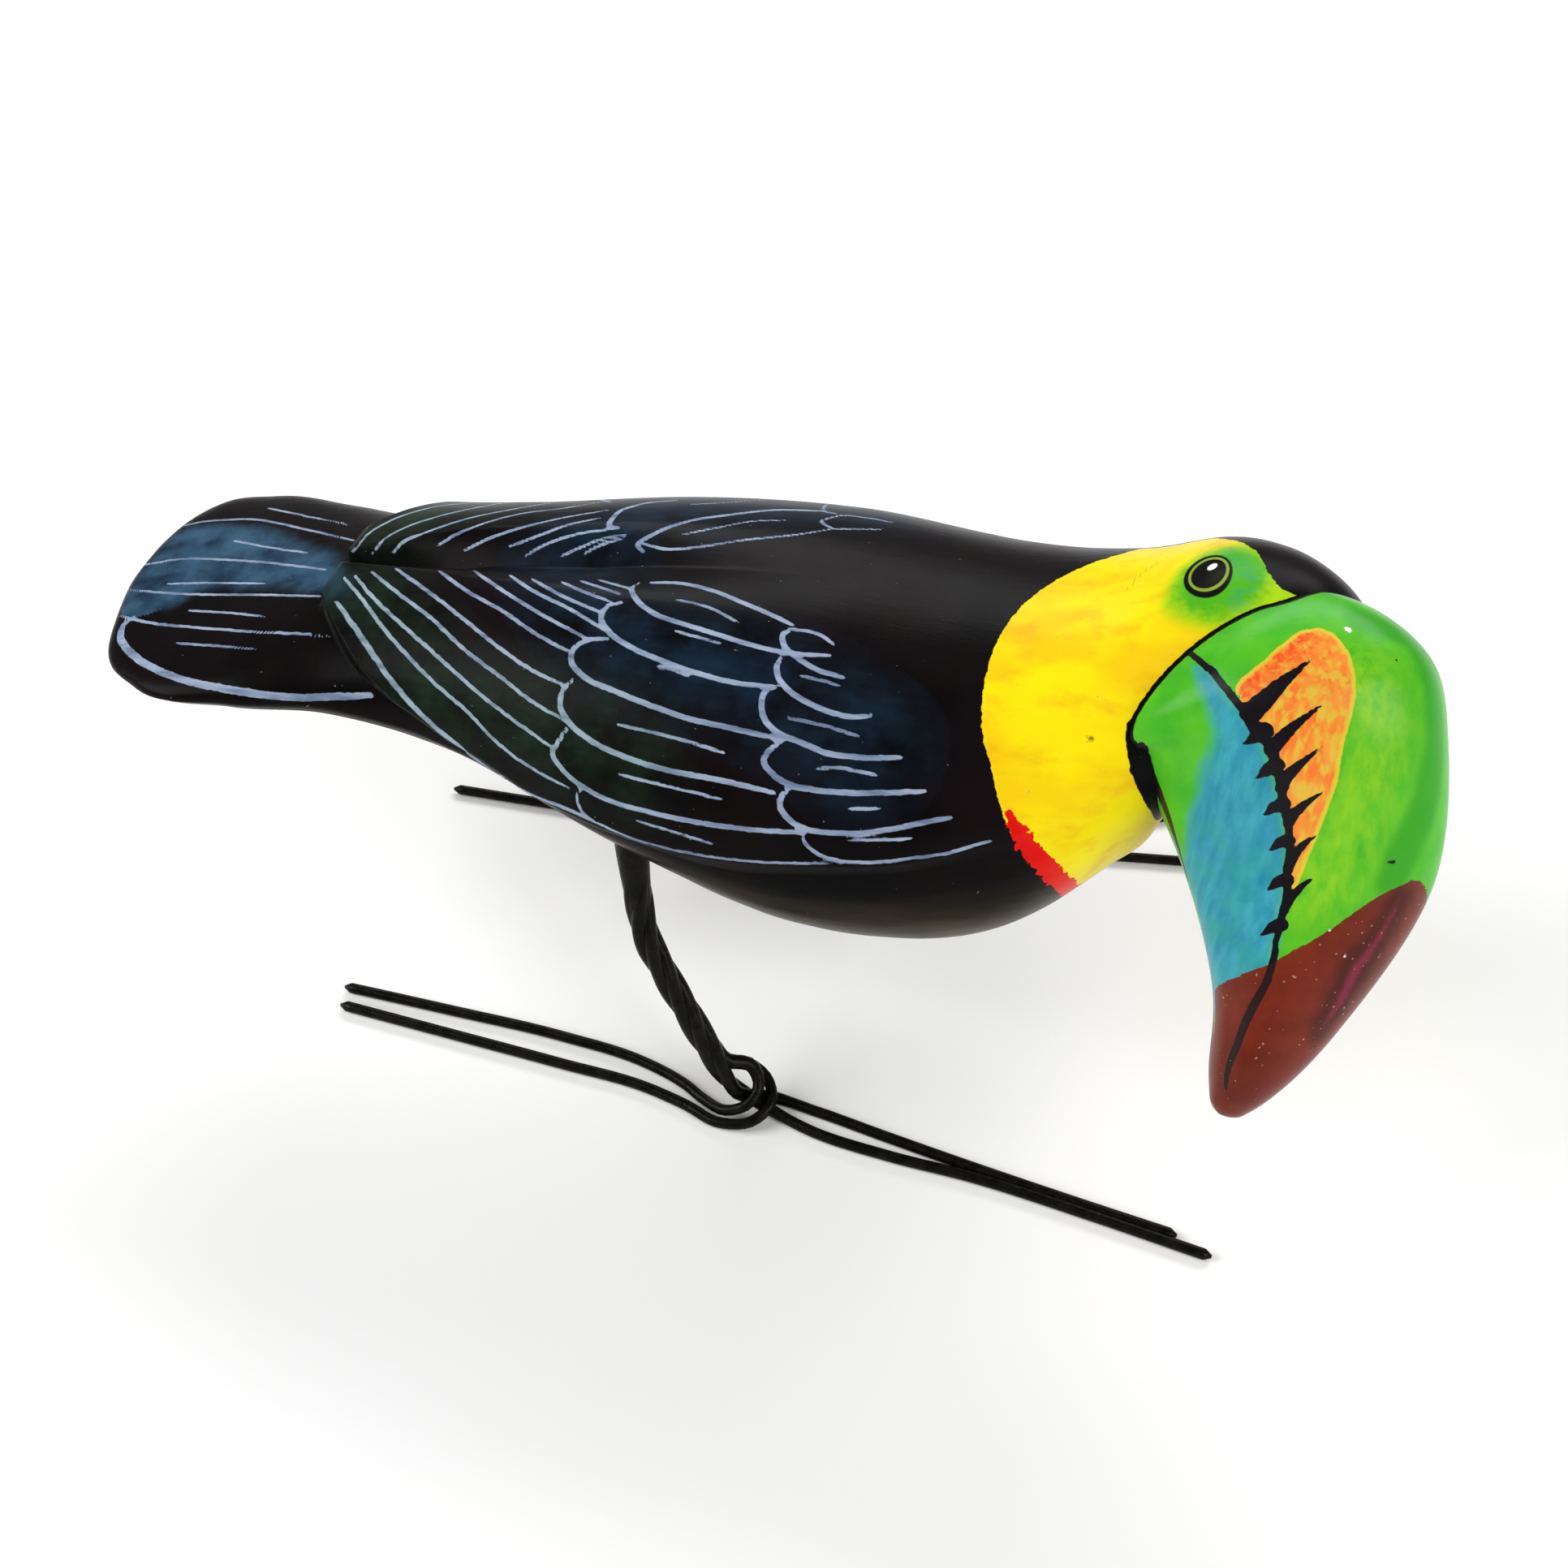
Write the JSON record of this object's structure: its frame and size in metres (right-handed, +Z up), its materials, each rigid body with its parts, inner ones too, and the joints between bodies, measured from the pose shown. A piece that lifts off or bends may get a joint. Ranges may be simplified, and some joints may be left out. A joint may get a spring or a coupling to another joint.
{
  "type": "ceramic toucan figurine",
  "caption": "Painted ceramic toucan figurine with folded wings, flat tail and head turned to its right, standing on legs and toes of twisted wire.",
  "frame": {"origin": "middle of the figurine's box in plan, on the ground under its toes", "axes": "+X from tail to head, +Y to the figure's left, +Z up"},
  "size_m": [0.2014, 0.1034, 0.0953],
  "materials": {
    "painted_ceramic": "glossy varnished paint over fired clay: black with pale feather lines, yellow and red breast, green, orange, teal and maroon bill",
    "painted_wire": "thick semi-gloss black paint over twisted steel wire"
  },
  "bodies": {
    "root": {"ceramic_toucan": "painted_ceramic", "right_leg": "painted_wire", "left_leg": "painted_wire"}
  },
  "joints": []
}
